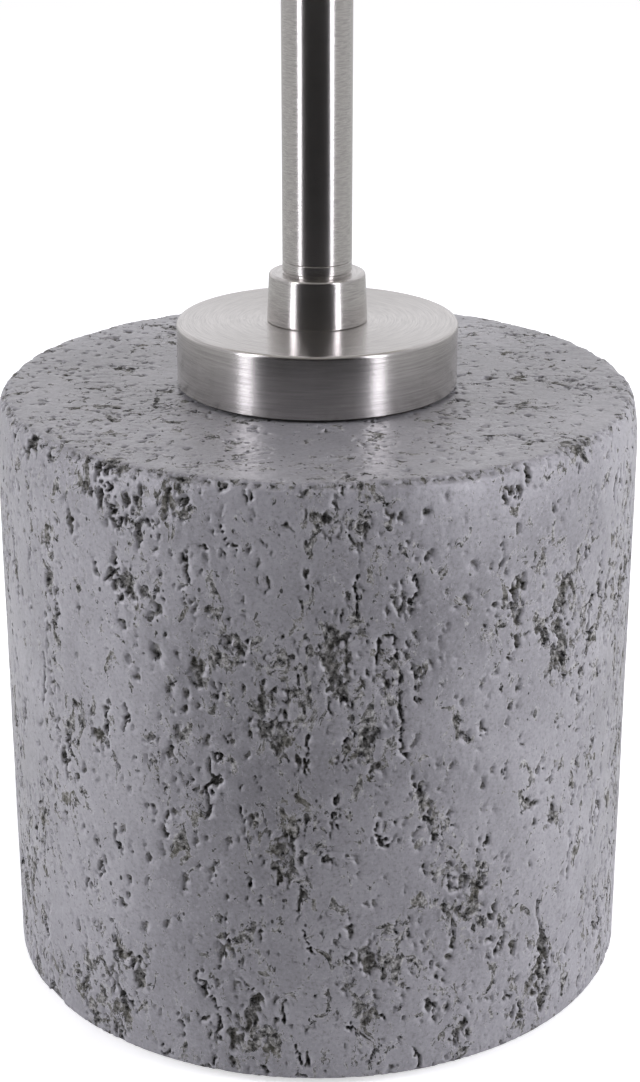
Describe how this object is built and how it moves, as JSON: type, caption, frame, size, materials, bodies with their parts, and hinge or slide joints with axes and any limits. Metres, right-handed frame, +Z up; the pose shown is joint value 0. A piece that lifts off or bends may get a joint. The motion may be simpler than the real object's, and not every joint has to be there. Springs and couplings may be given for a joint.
{
  "type": "table lamp",
  "caption": "Table lamp with a cast-concrete drum base, brushed nickel disc, collar and stem, and a fabric drum shade on a harp.",
  "frame": {"origin": "on the floor at the middle of the drum base", "axes": "+Z up along the stem, -Y to the front, +Y to the cord inlet at the back, harp in the XZ plane"},
  "size_m": [0.356, 0.356, 0.6404],
  "materials": {
    "concrete": "sealed cast concrete, open pored",
    "rubber": "moulded rubber",
    "steel": "zinc-plated steel",
    "nickel": "brushed nickel plate",
    "black_nylon": "moulded nylon",
    "fibre": "vulcanised fibre",
    "brass": "brushed brass",
    "insulating_paper": "waxed insulating board",
    "phenolic": "moulded phenolic",
    "screw_metal": "bright aluminium",
    "bulb_glass": "frosted glass",
    "linen": "woven linen",
    "lining": "white lining"
  },
  "bodies": {
    "stand": {"concrete_body": "concrete", "feet": "rubber", "clamp_plate": "steel", "flat_washer": "steel", "lock_washer": "steel", "bottom_nut": "steel", "inlet_bush": "black_nylon", "inlet_nut": "black_nylon", "centre_pipe": "steel", "fibre_washer": "fibre", "disc_cap": "nickel", "collar": "nickel", "seam_ring": "nickel", "stem_tube": "nickel", "stem_cap": "nickel", "harp_saddle": "nickel", "harp": "nickel", "socket_cap": "brass", "socket_shell": "brass", "socket_liner": "insulating_paper", "socket_interior": "phenolic", "screw_shell": "screw_metal", "centre_contact": "brass", "terminal_screws": "brass"},
    "left_sleeve": {"harp_sleeve_left": "nickel"},
    "right_sleeve": {"harp_sleeve_right": "nickel"},
    "switch": {"switch_shaft": "brass", "switch_knob": "phenolic"},
    "bulb": {"bulb_base": "screw_metal", "bulb_tip": "steel", "bulb_glass": "bulb_glass"},
    "shade": {"shade_fabric": "linen", "shade_lining": "lining", "shade_top_ring": "nickel", "shade_bottom_ring": "nickel", "spider_arms": "nickel", "spider_hub": "nickel", "shade_top_trim": "linen", "shade_bottom_trim": "linen"},
    "finial_nut": {"finial": "nickel"}
  },
  "joints": [
    {"name": "switch_turn", "type": "hinge", "parent": "stand", "child": "switch", "pos_m": [0, -0.017, 0.4372], "axis": [0, -1, 0], "continuous": true},
    {"name": "left_sleeve_lift", "type": "slide", "parent": "stand", "child": "left_sleeve", "axis": [0, 0, 1], "range_m": [0, 0.009]},
    {"name": "right_sleeve_lift", "type": "slide", "parent": "stand", "child": "right_sleeve", "axis": [0, 0, 1], "range_m": [0, 0.009]},
    {"name": "bulb_unscrew", "type": "slide", "parent": "stand", "child": "bulb", "axis": [0, 0, 1], "range_m": [0, 0.026]},
    {"name": "shade_swivel", "type": "hinge", "parent": "stand", "child": "shade", "pos_m": [0, 0, 0.6163], "axis": [0, 0, 1], "continuous": true},
    {"name": "finial_turn", "type": "hinge", "parent": "stand", "child": "finial_nut", "pos_m": [0, 0, 0.6193], "axis": [0, 0, 1], "continuous": true}
  ]
}
